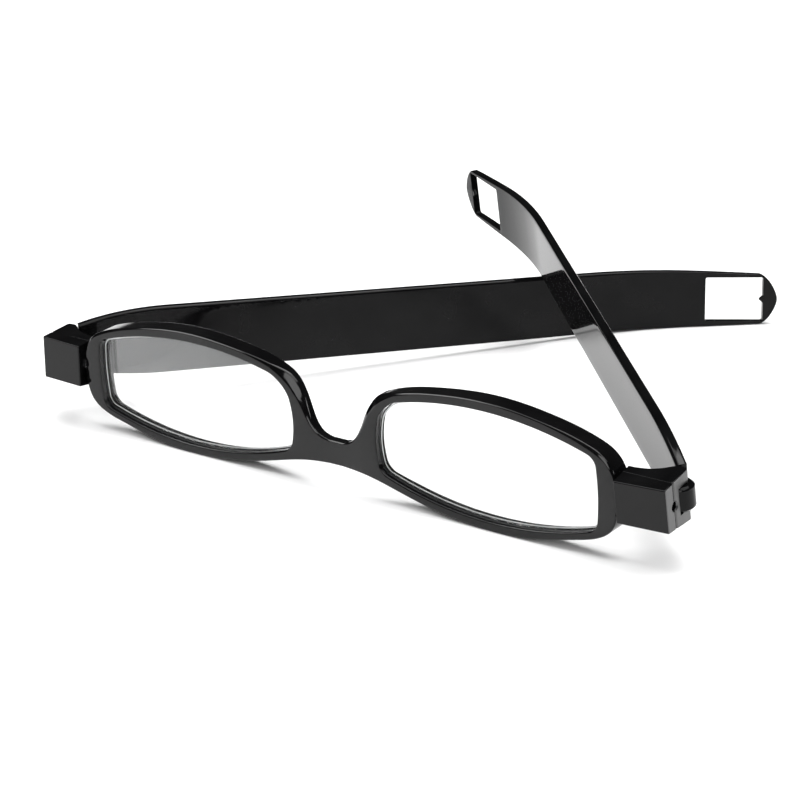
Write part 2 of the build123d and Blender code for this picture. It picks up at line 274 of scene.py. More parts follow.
def arc_through(a, b, c, step=0.5):
    """Points on the circle through a, b and c, from a to c."""
    (ax, ay), (bx, by), (cx, cy) = a, b, c
    d = 2 * (ax * (by - cy) + bx * (cy - ay) + cx * (ay - by))
    aa, bb, cc = ax * ax + ay * ay, bx * bx + by * by, cx * cx + cy * cy
    ox = (aa * (by - cy) + bb * (cy - ay) + cc * (ay - by)) / d
    oy = (aa * (cx - bx) + bb * (ax - cx) + cc * (bx - ax)) / d
    radius = ((ax - ox) ** 2 + (ay - oy) ** 2) ** 0.5
    start = atan2(ay - oy, ax - ox)
    turn = (atan2(cy - oy, cx - ox) - start + pi) % (2 * pi) - pi
    count = max(4, round(abs(turn) * radius / step))
    return [
        (ox + radius * cos(start + turn * i / count), oy + radius * sin(start + turn * i / count))
        for i in range(count + 1)
    ]


def trimmed(points, start, end):
    """The part of a polyline between two distances from its ends."""
    pts = [Vector(p) for p in points]
    run = [0.0]
    for a, b in zip(pts, pts[1:]):
        run.append(run[-1] + (b - a).length)

    def at(distance):
        for i in range(1, len(pts)):
            if run[i] >= distance:
                share = (distance - run[i - 1]) / (run[i] - run[i - 1])
                return pts[i - 1].lerp(pts[i], share)
        return pts[-1]

    inside = [p for p, r in zip(pts, run) if start + CORNER_MARGIN < r < run[-1] - end - CORNER_MARGIN]
    return [at(start)] + inside + [at(run[-1] - end)]


def rounded(sides, radii, segments=8):
    """Closed outline from consecutive side polylines; radii[i] rounds the end of side i."""
    count = len(sides)
    cut = [trimmed(side, radii[i - 1], radii[i]) for i, side in enumerate(sides)]
    out = []
    for i in range(count):
        here, after = cut[i], cut[(i + 1) % count]
        out += [tuple(p) for p in here]
        if radii[i] > 0:
            corner = Vector(sides[i][-1])
            a, d = here[-1], after[0]
            out += bezier(a, a.lerp(corner, CIRCLE), d.lerp(corner, CIRCLE), d, segments)[1:]
        else:
            out.pop()
    return [
        p for p, before in zip(out, out[-1:] + out[:-1])
        if (Vector(p) - Vector(before)).length > SAME_POINT
    ]


def polygon(corners, radii, step=0.6):
    """Closed outline of straight sides with rounded corners."""
    sides = []
    for i, a in enumerate(corners):
        b = corners[(i + 1) % len(corners)]
        count = max(1, round((Vector(b) - Vector(a)).length / step))
        sides.append([tuple(Vector(a).lerp(Vector(b), k / count)) for k in range(count + 1)])
    return rounded(sides, radii[1:] + radii[:1])


def area(loop):
    """Signed area, positive for a loop that runs anticlockwise."""
    return 0.5 * sum(
        a[0] * b[1] - b[0] * a[1] for a, b in zip(loop, loop[1:] + loop[:1])
    )


def outward_normals(loop):
    """Unit normals of a closed loop, pointing out of the area that it encloses."""
    sign = 1 if area(loop) > 0 else -1
    out = []
    for i in range(len(loop)):
        a, b = Vector(loop[i - 1]), Vector(loop[(i + 1) % len(loop)])
        along = (b - a).normalized()
        out.append(Vector((along.y, -along.x)) * sign)
    return out


def contains(loop, p):
    """Whether the closed loop goes round the point."""
    inside = False
    for a, b in zip(loop, loop[1:] + loop[:1]):
        if (a[1] > p[1]) != (b[1] > p[1]):
            if p[0] < (b[0] - a[0]) * (p[1] - a[1]) / (b[1] - a[1]) + a[0]:
                inside = not inside
    return inside


# ---------------------------------------------------------------- meshes

MERGE_DISTANCE = 1e-7
MERGE_UV = 1e-5
SMOOTHING = 60
SOFT, CRISP = 38, 30  # degrees between faces that still shade as one surface
BORDER_SHARE = 0.45  # points inside a face keep this share of the grid away from its border


def quarter(radius, segments=4):
    """(inset, distance from the face) rows of a rounded edge, from the face outwards."""
    out = []
    for i in range(segments + 1):
        turn = pi / 2 * i / segments
        out.append((radius * (1 - sin(turn)), radius * (1 - cos(turn))))
    return out


def edge_rows(radius):
    """Rows for a plain wall with the same rounded edge at each face."""
    rows = [(inset, "front", down) for inset, down in quarter(radius)]
    return rows + [(inset, "back", down) for inset, down in reversed(quarter(radius))]


def scaled(rows, face, size):
    """Rows for one face from (inset, distance) pairs, with each multiplied by size at a point."""
    return [
        (lambda p, i=inset: i * size(p), face, lambda p, d=down: d * size(p))
        for inset, down in rows
    ]


def finish_mesh(obj, sharp=SOFT):
    """Smooth shading, with creases kept where the faces meet at more than the sharp angle."""
    for face in obj.data.polygons:
        face.use_smooth = True
    obj.data.set_sharp_from_angle(angle=radians(sharp))
    weighted = obj.modifiers.new("weighted", "WEIGHTED_NORMAL")
    weighted.keep_sharp = True
    weighted.weight = SMOOTHING


def apply_modifiers(obj):
    """Makes the evaluated mesh the piece's own."""
    graph = bpy.context.evaluated_depsgraph_get()
    mesh = bpy.data.meshes.new_from_object(obj.evaluated_get(graph))
    obj.modifiers.clear()
    old = obj.data
    obj.data = mesh
    bpy.data.meshes.remove(old)


def new_object(name, bm):
    """A scene object from the mesh, with its doubled points merged and its faces turned outwards."""
    bmesh.ops.remove_doubles(bm, verts=bm.verts, dist=MERGE_DISTANCE)
    bmesh.ops.recalc_face_normals(bm, faces=bm.faces)
    mesh = bpy.data.meshes.new(name)
    bm.to_mesh(mesh)
    bm.free()
    obj = bpy.data.objects.new(name, mesh)
    bpy.context.scene.collection.objects.link(obj)
    return obj


def add_plate(bm, outer, holes, place, grid=None):
    """A plate with rounded edges and holes.

    outer and each hole are (loop, rows), with rows of (inset, face, distance): the inset goes
    into the plate, and the distance is measured from its front or back face. place puts
    (u, v, face, distance) in the row frame. grid adds points inside the two faces.
    """
    contours = [(outer, -1)] + [(hole, 1) for hole in holes]
    rims = {"front": [], "back": []}
    for (loop, rows), sign in contours:
        normals = outward_normals(loop)
        rings = []
        for inset, face, distance in rows:
            ring = []
            for point, normal in zip(loop, normals):
                pull = inset(point) if callable(inset) else inset
                drop = distance(point) if callable(distance) else distance
                u, v = Vector(point) + normal * sign * pull
                ring.append((bm.verts.new(place(u, v, face, drop)), (u, v)))
            rings.append(ring)
        for upper, lower in zip(rings, rings[1:]):
            for i in range(len(loop)):
                k = (i + 1) % len(loop)
                bm.faces.new((upper[i][0], upper[k][0], lower[k][0], lower[i][0]))
        rims["front"].append(rings[0])
        rims["back"].append(rings[-1])
    for face, loops in rims.items():
        verts, flat, edges = [], [], []
        for ring in loops:
            start = len(flat)
            for vert, uv in ring:
                verts.append(vert)
                flat.append(Vector(uv))
            edges += [(start + i, start + (i + 1) % len(ring)) for i in range(len(ring))]
        outlines = [[tuple(uv) for _, uv in ring] for ring in loops]
        if grid:
            border = np.array([tuple(p) for p in flat])
            us = np.arange(border[:, 0].min(), border[:, 0].max(), grid)
            vs = np.arange(border[:, 1].min(), border[:, 1].max(), grid)
            for line, v in enumerate(vs):
                for u in us + (grid / 2 if line % 2 else 0):
                    if np.min(np.hypot(border[:, 0] - u, border[:, 1] - v)) < grid * BORDER_SHARE:
                        continue
                    if sum(contains(loop, (u, v)) for loop in outlines) != 1:
                        continue
                    verts.append(bm.verts.new(place(u, v, face, 0)))
                    flat.append(Vector((u, v)))
        spots, _, tris, source, _, _ = geometry.delaunay_2d_cdt(flat, edges, [], 0, MERGE_UV)
        made = [
            verts[old[0]] if old else bm.verts.new(place(spot[0], spot[1], face, 0))
            for spot, old in zip(spots, source)
        ]
        for tri in tris:
            middle = sum((spots[i] for i in tri), Vector((0, 0))) / 3
            if sum(contains(loop, middle) for loop in outlines) != 1:
                continue
            corners = [made[i] for i in tri]
            if len(set(corners)) == 3:
                bm.faces.new(corners)


def put(obj, body, node, material):
    """Gives the piece its material, hangs it under its body's empty, and hides the CAD node it stands in
    for.
    """
    obj.data.materials.clear()
    obj.data.materials.append(material)
    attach(obj, body)
    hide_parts(node)


# ---------------------------------------------------------------- materials

BLACK_DARK, BLACK_LIGHT = (0.0015, 0.0015, 0.0017), (0.004, 0.004, 0.0042)
ACRYLIC_DARK, ACRYLIC_LIGHT = (0.80, 0.81, 0.81), (0.84, 0.85, 0.85)
# pale colours painted on the lens bevel as its highlight line
HIGHLIGHT_EDGE_DARK, HIGHLIGHT_EDGE_LIGHT = (0.72, 0.73, 0.73), (0.86, 0.87, 0.87)
CARD_DARK, CARD_LIGHT = (0.90, 0.90, 0.90), (0.92, 0.92, 0.92)
TARNISH = 0.72
TOOL_MARKS = (40, 1, 1)
MARK_DEPTH = 0.00001


def shader(name, **values):
    """A Principled material with the values on its sockets; an underscore stands for a space."""
    material = bpy.data.materials.new(name)
    material.use_nodes = True
    bsdf = material.node_tree.nodes["Principled BSDF"]
    for key, value in values.items():
        bsdf.inputs[key.replace("_", " ")].default_value = value
    return material, material.node_tree, bsdf


def noise(tree, scale, detail=3.0, stretch=None):
    """Noise in the object's own coordinates, in cells per metre."""
    coordinates = tree.nodes.new("ShaderNodeTexCoord")
    texture = tree.nodes.new("ShaderNodeTexNoise")
    texture.inputs["Scale"].default_value = scale
    texture.inputs["Detail"].default_value = detail
    if stretch:
        mapping = tree.nodes.new("ShaderNodeMapping")
        mapping.inputs["Scale"].default_value = stretch
        tree.links.new(coordinates.outputs["Object"], mapping.inputs["Vector"])
        tree.links.new(mapping.outputs["Vector"], texture.inputs["Vector"])
    else:
        tree.links.new(coordinates.outputs["Object"], texture.inputs["Vector"])
    return texture.outputs["Fac"]


def span(tree, value, low, high, start=0.3, end=0.7):
    """Maps the value from start..end to low..high."""
    node = tree.nodes.new("ShaderNodeMapRange")
    node.inputs["From Min"].default_value = start
    node.inputs["From Max"].default_value = end
    node.inputs["To Min"].default_value = low
    node.inputs["To Max"].default_value = high
    tree.links.new(value, node.inputs["Value"])
    return node.outputs["Result"]


def tint(tree, value, dark, light):
    """A colour between dark and light, by the value."""
    ramp = tree.nodes.new("ShaderNodeValToRGB")
    ramp.color_ramp.elements[0].position = 0.35
    ramp.color_ramp.elements[0].color = (*dark, 1)
    ramp.color_ramp.elements[1].position = 0.7
    ramp.color_ramp.elements[1].color = (*light, 1)
    tree.links.new(value, ramp.inputs["Fac"])
    return ramp.outputs["Color"]


def bump(tree, bsdf, height, distance):
    """Relief of the surface, with the distance in metres."""
    node = tree.nodes.new("ShaderNodeBump")
    node.inputs["Distance"].default_value = distance
    node.inputs["Strength"].default_value = 1.0
    tree.links.new(height, node.inputs["Height"])
    tree.links.new(node.outputs["Normal"], bsdf.inputs["Normal"])


def plastic(name, rough, grain_scale, grain_depth, specular):
    """Black moulded plastic: faint flow marks in colour and gloss, and a very low orange peel."""
    material, tree, bsdf = shader(name, Specular_IOR_Level=specular, IOR=1.5)
    flow = tint(tree, noise(tree, scale=120), BLACK_DARK, BLACK_LIGHT)
    tree.links.new(flow, bsdf.inputs["Base Color"])
    tree.links.new(span(tree, noise(tree, scale=260, detail=5), *rough), bsdf.inputs["Roughness"])
    bump(tree, bsdf, noise(tree, scale=grain_scale, detail=2), grain_depth)
    return material


def metal(name, colour, rough):
    """Turned metal with fine tool marks and slight tarnish."""
    material, tree, bsdf = shader(name, Metallic=1.0)
    dark = tuple(c * TARNISH for c in colour)
    tree.links.new(tint(tree, noise(tree, scale=900, detail=4), dark, colour), bsdf.inputs["Base Color"])
    marks = noise(tree, scale=2200, detail=2, stretch=TOOL_MARKS)
    tree.links.new(span(tree, marks, *rough), bsdf.inputs["Roughness"])
    bump(tree, bsdf, marks, MARK_DEPTH)
    return material


FRAME_PLASTIC = plastic(
    "frame_plastic_gloss", rough=(0.06, 0.12), grain_scale=1100, grain_depth=1.0e-6, specular=0.27
)
BLOCK_PLASTIC = plastic(
    "block_plastic_gloss", rough=(0.08, 0.13), grain_scale=1600, grain_depth=1.0e-6, specular=0.2
)
END_PLASTIC = plastic(
    "block_plastic_satin", rough=(0.26, 0.38), grain_scale=2600, grain_depth=4.0e-6, specular=1.0
)
TEMPLE_PLASTIC = plastic(
    "temple_plastic_gloss", rough=(0.04, 0.09), grain_scale=900, grain_depth=0.8e-6, specular=0.12
)
BRASS = metal("turned_brass", colour=(0.78, 0.60, 0.28), rough=(0.22, 0.38))
STEEL = metal("bright_steel", colour=(0.62, 0.62, 0.63), rough=(0.14, 0.28))


def lens_material():
    """Clear acrylic: see-through square on, more mirror-like at a slant, with faint wipe marks."""
    material, tree, bsdf = shader("lens_clear_acrylic", IOR=1.49, Metallic=0.85)
    clouds = tint(tree, noise(tree, scale=60), ACRYLIC_DARK, ACRYLIC_LIGHT)
    tree.links.new(clouds, bsdf.inputs["Base Color"])
    wipes = noise(tree, scale=180, detail=4, stretch=(1, 1, 6))
    tree.links.new(span(tree, wipes, low=0.01, high=0.03), bsdf.inputs["Roughness"])
    slant = tree.nodes.new("ShaderNodeLayerWeight")
    slant.inputs["Blend"].default_value = 0.15
    veil = span(tree, slant.outputs["Facing"], low=0.03, high=0.8, start=0.0, end=1.0)
    tree.links.new(veil, bsdf.inputs["Alpha"])
    return material


def painted_highlight_edge():
    """Bevel at a lens edge: rough, with a pale colour painted on as its highlight line."""
    material, tree, bsdf = shader("lens_edge_painted_highlight", IOR=1.49)
    painted_highlight = tint(tree, noise(tree, scale=400), HIGHLIGHT_EDGE_DARK, HIGHLIGHT_EDGE_LIGHT)
    tree.links.new(painted_highlight, bsdf.inputs["Base Color"])
    tree.links.new(span(tree, noise(tree, scale=900), low=0.25, high=0.4), bsdf.inputs["Roughness"])
    return material


LENS = lens_material()
LENS_EDGE_HIGHLIGHT = painted_highlight_edge()

# ---------------------------------------------------------------- front

DEPTH_AT = np.arange(DEPTH_COUNT) * DEPTH_STEP
DEPTH_ROUGH = np.interp(DEPTH_AT, [at for at, _ in RIM_DEPTHS], [depth for _, depth in RIM_DEPTHS])
DEPTH_SMOOTH = np.convolve(
    np.pad(DEPTH_ROUGH, DEPTH_WINDOW // 2, mode="edge"), np.ones(DEPTH_WINDOW) / DEPTH_WINDOW,
    mode="valid",
)


def rim_depth(u):
    """Depth of the front at a distance from the middle."""
    return float(np.interp(abs(u), DEPTH_AT, DEPTH_SMOOTH))


def front_point(u, v, face, distance):
    """Where a point of the front lies, from its outline and its distance from a face."""
    depth = rim_depth(u)
    # the bridge is faintly hollow in front, as moulded
    hollow = BRIDGE_HOLLOW * max(0.0, cos(min(abs(u) / BRIDGE_HOLLOW_HALF, 1.0) * pi / 2)) ** 2
    back = hollow + distance if face == "front" else depth - distance
    return Vector((u, FRONT_Y + back, AXIS_HEIGHT + v)) * MM


right_half = (
    [(0.0, NOTCH_HEIGHT), (FLAT_HALF, NOTCH_HEIGHT)] + through(TOP_POINTS)
    + through([(END_X, END_TOP), (END_X, END_LOW)])[1:-1]
    + through(BOTTOM_POINTS) + [(FLAT_HALF, BRIDGE_LOW), (0.0, BRIDGE_LOW)]
)
front_loop = right_half[:-1] + [(-u, v) for u, v in reversed(right_half)][:-1]


def opening(side):
    """Outline of a lens opening: four shallow arcs with rounded corners."""
    corners = [(side * u, v) for u, v in OPENING_CORNERS]
    middles = [(side * u, v) for u, v in OPENING_MIDDLES]
    after = corners[1:] + corners[:1]
    sides = [arc_through(a, b, c) for a, b, c in zip(corners, middles, after)]
    return rounded(sides, OPENING_RADII)


def soft_edge(point):
    """Size of the chamfer on the outer front edge: widest on the sides of the nose notch."""
    size = float(np.interp(abs(point[0]), EDGE_PLACES, EDGE_SIZES))
    return PLAIN_EDGE + (size - PLAIN_EDGE) * float(np.interp(point[1], EDGE_FADE, (0.0, 1.0)))


def outer_rows():
    """The chamfer in front, and a plain rounding at the back."""
    rows = scaled(CHAMFER, "front", soft_edge)
    return rows + [(inset, "back", down) for inset, down in reversed(quarter(PLAIN_EDGE))]


def flare_depth(point):
    """Depth of the rounding behind the lens, as far as the rim leaves room for it."""
    room = rim_depth(point[0]) - LENS_FRONT - LENS_THICKNESS
    return max(FLARE_LEAST, min(FLARE_DEPTH, room - FLARE_LEAST))


def opening_rows():
    """A rounded front edge, the lip and groove of the lens seat, and the rounding behind."""
    floor_of_groove = GROOVE_DEPTH + GROOVE_PLAY
    rear = LENS_FRONT + LENS_THICKNESS
    rows = [(inset, "front", down) for inset, down in quarter(PLAIN_EDGE)]
    rows += [(0.0, "front", LENS_FRONT - SEAT_LIP), (SEAT_STEP, "front", LENS_FRONT)]
    rows += [(floor_of_groove, "front", LENS_FRONT), (floor_of_groove, "front", rear)]
    rows += [(0.0, "front", rear)]
    for i in range(FLARE_SEGMENTS + 1):
        turn = pi / 2 * i / FLARE_SEGMENTS
        rows.append((
            FLARE_WIDTH * (1 - cos(turn)), "back", lambda p, t=turn: flare_depth(p) * (1 - sin(t)),
        ))
    return rows


OPENINGS = {name: opening(side) for name, side in SIDES.items()}
bm = bmesh.new()
add_plate(
    bm, (front_loop, outer_rows()), [(loop, opening_rows()) for loop in OPENINGS.values()],
    front_point, grid=FRONT_GRID,
)
front_piece = new_object("front_rims", bm)
finish_mesh(front_piece)
put(front_piece, "front", "front_frame", material=FRAME_PLASTIC)

# ---------------------------------------------------------------- lenses

for name, side in SIDES.items():
    def lens_point(u, v, face, distance):
        across = (u - side * LENS_MIDDLE) / LENS_HALF_WIDTH
        crown = LENS_CROWN * max(0.0, 1 - across * across - (v / LENS_HALF_HEIGHT) ** 2)
        back = LENS_FRONT - crown + distance
        if face == "back":
            back = LENS_FRONT + LENS_THICKNESS - crown - distance
        return Vector((u, FRONT_Y + back, AXIS_HEIGHT + v)) * MM

    # a bevel just inside the rim, painted pale as a highlight line, then the flat edge in the groove
    edge = [(BEVEL_INNER, "front", 0.0), (BEVEL_OUTER, "front", BEVEL), (BEVEL_LAND, "front", BEVEL)]
    edge += [(-GROOVE_DEPTH + inset, "front", BEVEL + down) for inset, down in quarter(LENS_ROUND)]
    edge += [(-GROOVE_DEPTH + inset, "back", down) for inset, down in reversed(quarter(LENS_ROUND))]
    bm = bmesh.new()
    add_plate(bm, (OPENINGS[name], edge), [], lens_point, grid=FACE_GRID)
    lens = new_object(f"{name}_reading_lens", bm)
    finish_mesh(lens)
    put(lens, "front", f"{name}_lens", material=LENS)
    lens.data.materials.append(LENS_EDGE_HIGHLIGHT)
    # the bevel faces get the pale painted-highlight material
    for face in lens.data.polygons:
        if BEVEL_FACING[0] < -face.normal.y < BEVEL_FACING[1]:
            face.material_index = 1

# ---------------------------------------------------------------- block and temple frames


def block_frame(name):
    """Origin on the swivel axis in the middle, and the directions outwards, back and up."""
    side = SIDES[name]
    up = Vector(JOINTS[f"{name}_fold"]["axis"]) * -side
    out = Vector((side, 0, 0))
    back = up.cross(out) * side
    origin = Vector(JOINTS[f"{name}_swivel"]["pos_m"])
    origin.x = 0
    return origin, out, back, up


def block_point(name, out, back, up):
    """out from the middle, back behind the front face, up from the swivel axis, in mm."""
    origin, x, y, z = block_frame(name)
    return origin + (x * out + y * (back - AXIS_BACK) + z * up) * MM


def temple_frame(name):
    """Origin on the hinge pin, and the directions along the blade, to its inner side and up."""
    _, out, back, up = block_frame(name)
    turn = radians(FOLD_ANGLE[name])
    origin = block_point(name, PIN_OUT, PIN_BACK, 0)
    along = back * sin(turn) - out * cos(turn)
    inner = -(out * sin(turn) + back * cos(turn))
    return origin, along, inner, up


# ---------------------------------------------------------------- blocks

def block_half(back):
    """Half the height of the block, which grows towards the back."""
    share = (back - BLOCK_FRONT_INNER) / (BLOCK_BACK_OUTER - BLOCK_FRONT_INNER)
    return BLOCK_HALF_FRONT + share * (BLOCK_HALF_BACK - BLOCK_HALF_FRONT)


def block_rows():
    """Rounded edges, all but sharp along the seam between the halves."""
    def share(p):
        return SEAM_SHARE if abs(p[1] - AXIS_BACK) < SEAM_REACH else 1.0

    rows = quarter(BLOCK_EDGE)
    return scaled(rows, "front", share) + scaled(reversed(rows), "back", share)


def cutter(name, origin, axis, rings, count=48):
    """Closed solid of revolution from (distance, radius) pairs, to cut with."""
    bm = bmesh.new()
    turn = axis.to_track_quat("Z", "Y").to_matrix()
    loops = []
    for distance, radius in rings:
        loops.append([
            bm.verts.new(origin + turn @ Vector((
                radius * cos(2 * pi * k / count), radius * sin(2 * pi * k / count), distance
            )) * MM)
            for k in range(count)
        ])
    for a, b in zip(loops, loops[1:]):
        for k in range(count):
            bm.faces.new((a[k], a[(k + 1) % count], b[(k + 1) % count], b[k]))
    bm.faces.new(loops[0])
    bm.faces.new(loops[-1])
    return new_object(name, bm)


def cut(obj, tools):
    """Cuts the tools out of the piece, and applies the result to its mesh."""
    for tool in tools:
        boolean = obj.modifiers.new("cut", "BOOLEAN")
        boolean.operation = "DIFFERENCE"
        boolean.solver = "EXACT"
        boolean.object = tool
    apply_modifiers(obj)


for name in SIDES:
    _, out_axis, _, up_axis = block_frame(name)
    scoop_start = (SCOOP_OUTER_X, BLOCK_BACK_OUTER)
    scoop_end = (SCOOP_INNER_X, BLOCK_BACK_INNER)
    scoop = through([scoop_start, *SCOOP_POINTS, scoop_end], step=0.4)
    seam = AXIS_BACK
    halves = {
        "front": rounded(
            [
                [(BLOCK_INNER_X, seam), (BLOCK_INNER_X, BLOCK_FRONT_INNER)],
                [(BLOCK_INNER_X, BLOCK_FRONT_INNER), (BLOCK_OUTER_X, BLOCK_FRONT_OUTER)],
                [(BLOCK_OUTER_X, BLOCK_FRONT_OUTER), (BLOCK_OUTER_X, seam)],
                [(BLOCK_OUTER_X, seam), (BLOCK_INNER_X, seam)],
            ],
            [BLOCK_CORNER, BLOCK_CORNER, SEAM_OUTER_CORNER, SEAM_INNER_CORNER], segments=5,
        ),
        "rear": rounded(
            [
                [(BLOCK_INNER_X, BLOCK_BACK_INNER), (BLOCK_INNER_X, seam)],
                [(BLOCK_INNER_X, seam), (BLOCK_OUTER_X, seam)],
                [(BLOCK_OUTER_X, seam), (BLOCK_OUTER_X, BLOCK_BACK_OUTER)],
                [(BLOCK_OUTER_X, BLOCK_BACK_OUTER), scoop_start],
                scoop,
                [scoop_end, (BLOCK_INNER_X, BLOCK_BACK_INNER)],
            ],
            [SEAM_INNER_CORNER, SEAM_OUTER_CORNER, EAR_CORNER, 0.0, 0.0, INNER_CORNER],
            segments=5,
        ),
    }
    axis_point = block_point(name, 0, AXIS_BACK, 0)
    slot_half = KNUCKLE_HALF + SLOT_GAP
    slot_radius = KNUCKLE_RADIUS + SLOT_GAP
    tools = [
        cutter("cut_access", axis_point, out_axis, [
            (CAVITY_OUTER_X, SHANK_RADIUS), (SINK_INNER_X, SHANK_RADIUS),
            (SINK_OUTER_X, SINK_RADIUS), (CUT_OUTER_X, SINK_RADIUS),
        ]),
        cutter("cut_cavity", axis_point, out_axis, [
            (CAVITY_INNER_X, CAVITY_RADIUS), (CAVITY_OUTER_X, CAVITY_RADIUS),
        ]),
        cutter("cut_shank", axis_point, out_axis, [
            (CUT_INNER_X, SHANK_RADIUS), (CAVITY_INNER_X, SHANK_RADIUS),
        ]),
    ]
    knuckle_slot = cutter(
        "cut_knuckle", block_point(name, PIN_OUT, PIN_BACK, 0), up_axis,
        [(-slot_half, slot_radius), (slot_half, slot_radius)],
    )
    for half, loop in halves.items():
        def half_point(u, v, face, distance):
            level = block_half(v) - distance
            return block_point(name, u, v, level if face == "front" else -level)

        bm = bmesh.new()
        add_plate(bm, (loop, block_rows()), [], half_point)
        shell = new_object(f"{name}_{half}_half_block", bm)
        cut(shell, tools + ([knuckle_slot] if half == "rear" else []))
        finish_mesh(shell, CRISP)
        put(
            shell, f"{name}_block", f"{name}_block_{half}_shell",
            material=BLOCK_PLASTIC,
        )
        shell.data.materials.append(END_PLASTIC)
        end_point = block_point(name, END_FACE_X, 0, 0)
        for face in shell.data.polygons:
            at_end = (face.center - end_point).dot(out_axis) > 0
            if at_end and face.normal.dot(out_axis) > END_FACE_FACING:
                face.material_index = 1
    for tool in [*tools, knuckle_slot]:
        bpy.data.objects.remove(tool)

# ---------------------------------------------------------------- temples

BEND_REACH = BEND_RADIUS * tan(TIP_BEND / 2)
BEND_START = STRAIGHT_LENGTH - BEND_REACH
BEND_END = BEND_START + BEND_RADIUS * sin(TIP_BEND)
TIP_X = STRAIGHT_LENGTH + TIP_LENGTH * cos(TIP_BEND)
ROUND_START = TIP_X - TIP_ROUND


def inner_line(x):
    """How far the inner face has bent inwards at x, and its slope."""
    if x < BEND_START:
        return 0.0, 0.0
    if x < BEND_END:
        angle = np.arcsin((x - BEND_START) / BEND_RADIUS)
        return BEND_RADIUS * (1 - cos(angle)), float(angle)
    return (x - STRAIGHT_LENGTH) * tan(TIP_BEND), TIP_BEND


def blade_thickness(x):
    """Thickness of the blade, which tapers to the bend and again to the tip."""
    return float(np.interp(
        x, (BLADE_START, STRAIGHT_LENGTH, TIP_X), (ROOT_THICKNESS, BEND_THICKNESS, TIP_THICKNESS)
    ))


def conic(a, b, c, count):
    """Points on a parabola from a to c, without c, that leaves and arrives along the lines to b."""
    return bezier(a, Vector(a).lerp(Vector(b), 2 / 3), Vector(c).lerp(Vector(b), 2 / 3), c, count)


def blade_edge(sign, flare):
    """One long edge of the blade, from the root to the middle of the tip."""
    widest = (WIDEST_X, sign * flare)
    taper = (TAPER_X, sign * TAPER_HALF)
    round_start = (ROUND_START, sign * TIP_HALF)
    shoulder = (TIP_X - TIP_SHOULDER, sign * TIP_HALF)
    edge = conic((BLADE_START, sign * ROOT_HALF), (SWELL_X, sign * flare), widest, count=30)
    edge += through([widest, taper], step=1.0)[:-1]
    edge += conic(taper, (STRAIGHT_LENGTH, sign * TAPER_HALF), round_start, count=60)
    edge += bezier(round_start, shoulder, (TIP_X, sign * TIP_NOSE), (TIP_X, 0.0), count=24)
    return edge


blade_loop = blade_edge(1, UPPER_HALF) + [(TIP_X, 0.0)] + list(reversed(blade_edge(-1, LOWER_HALF)))
blade_loop += through([(BLADE_START, -ROOT_HALF), (BLADE_START, ROOT_HALF)], step=0.6)[1:-1]
window_near, window_far = (
    STRAIGHT_LENGTH + u * cos(TIP_BEND) for u in (WINDOW_START, WINDOW_START + WINDOW_LENGTH)
)
window_loop = polygon(
    [
        (window_near, -WINDOW_HALF), (window_far, -WINDOW_HALF),
        (window_far, WINDOW_HALF), (window_near, WINDOW_HALF),
    ],
    [WINDOW_CORNER] * 4, step=0.5,
)
tooth_loop = polygon(
    [
        (window_far + TOOTH_ROOT, -TOOTH_HALF), (window_far + TOOTH_ROOT, TOOTH_HALF),
        (window_far - TOOTH_BASE, TOOTH_HALF), (window_far - TOOTH_REACH, 0.0),
        (window_far - TOOTH_BASE, -TOOTH_HALF),
    ],
    [TOOTH_ROOT_CORNER] * 2 + [TOOTH_CORNER] * 3, step=0.5,
)


def arm_rows():
    """Rounded edges, finer round the window at the tip."""
    def share(p):
        return float(np.interp(p[0], (BEND_START, STRAIGHT_LENGTH + FINE_REACH), (1.0, FINE_EDGE)))

    rows = scaled(quarter(INNER_EDGE), "front", share)
    return rows + scaled(reversed(quarter(OUTER_EDGE)), "back", share)


for name in SIDES:
    origin, along, inner, up = temple_frame(name)

    def blade_point(x, w, face, distance):
        bent, slope = inner_line(x)
        thickness = blade_thickness(x)
        deep = distance if face == "front" else thickness - distance
        sideways = bent - deep * cos(slope)
        lengthways = x + deep * sin(slope) * min(1.0, max(0.0, (TIP_X - x) / TIP_FADE))
        return origin + (along * lengthways + inner * sideways + up * w) * MM

    bm = bmesh.new()
    add_plate(
        bm, (blade_loop, arm_rows()), [(window_loop, edge_rows(WINDOW_EDGE))],
        blade_point, grid=FACE_GRID,
    )

    def tooth_point(x, w, face, distance):
        deep = TOOTH_SINK + distance if face == "front" else TOOTH_THICKNESS - distance
        return blade_point(x, w, "front", deep)

    add_plate(bm, (tooth_loop, edge_rows(TOOTH_EDGE)), [], tooth_point)

    def knuckle_point(u, v, face, distance):
        level = KNUCKLE_HALF - distance
        return origin + (along * u + inner * v + up * (level if face == "front" else -level)) * MM

    sweep = 2 * pi - np.arcsin(KNUCKLE_SIDE / KNUCKLE_RADIUS)
    turns = [sweep * k / KNUCKLE_SEGMENTS for k in range(KNUCKLE_SEGMENTS + 1)]
    knuckle = [(KNUCKLE_RADIUS * cos(turn), KNUCKLE_RADIUS * sin(turn)) for turn in turns]
    chamfer = [(inset, "front", down) for inset, down in KNUCKLE_CHAMFER]
    chamfer += [(inset, "back", down) for inset, down in reversed(KNUCKLE_CHAMFER)]
    add_plate(bm, (knuckle + KNUCKLE_NECK, chamfer), [], knuckle_point)
    temple = new_object(f"{name}_temple_arm", bm)
    finish_mesh(temple)
    put(
        temple, f"{name}_temple", f"{name}_temple",
        material=TEMPLE_PLASTIC,
    )

# ---------------------------------------------------------------- metal parts

for name in SIDES:
    for node, material in (
        ("swivel_insert", BRASS), ("swivel_washer", STEEL), ("swivel_spring", STEEL),
        ("swivel_screw", STEEL), ("hinge_pin", STEEL),
    ):
        piece = frame["nodes"][f"{name}_{node}"]
        piece.data.materials.clear()
        piece.data.materials.append(material)
        piece.data.set_sharp_from_angle(angle=radians(CRISP))

# ---------------------------------------------------------------- stage


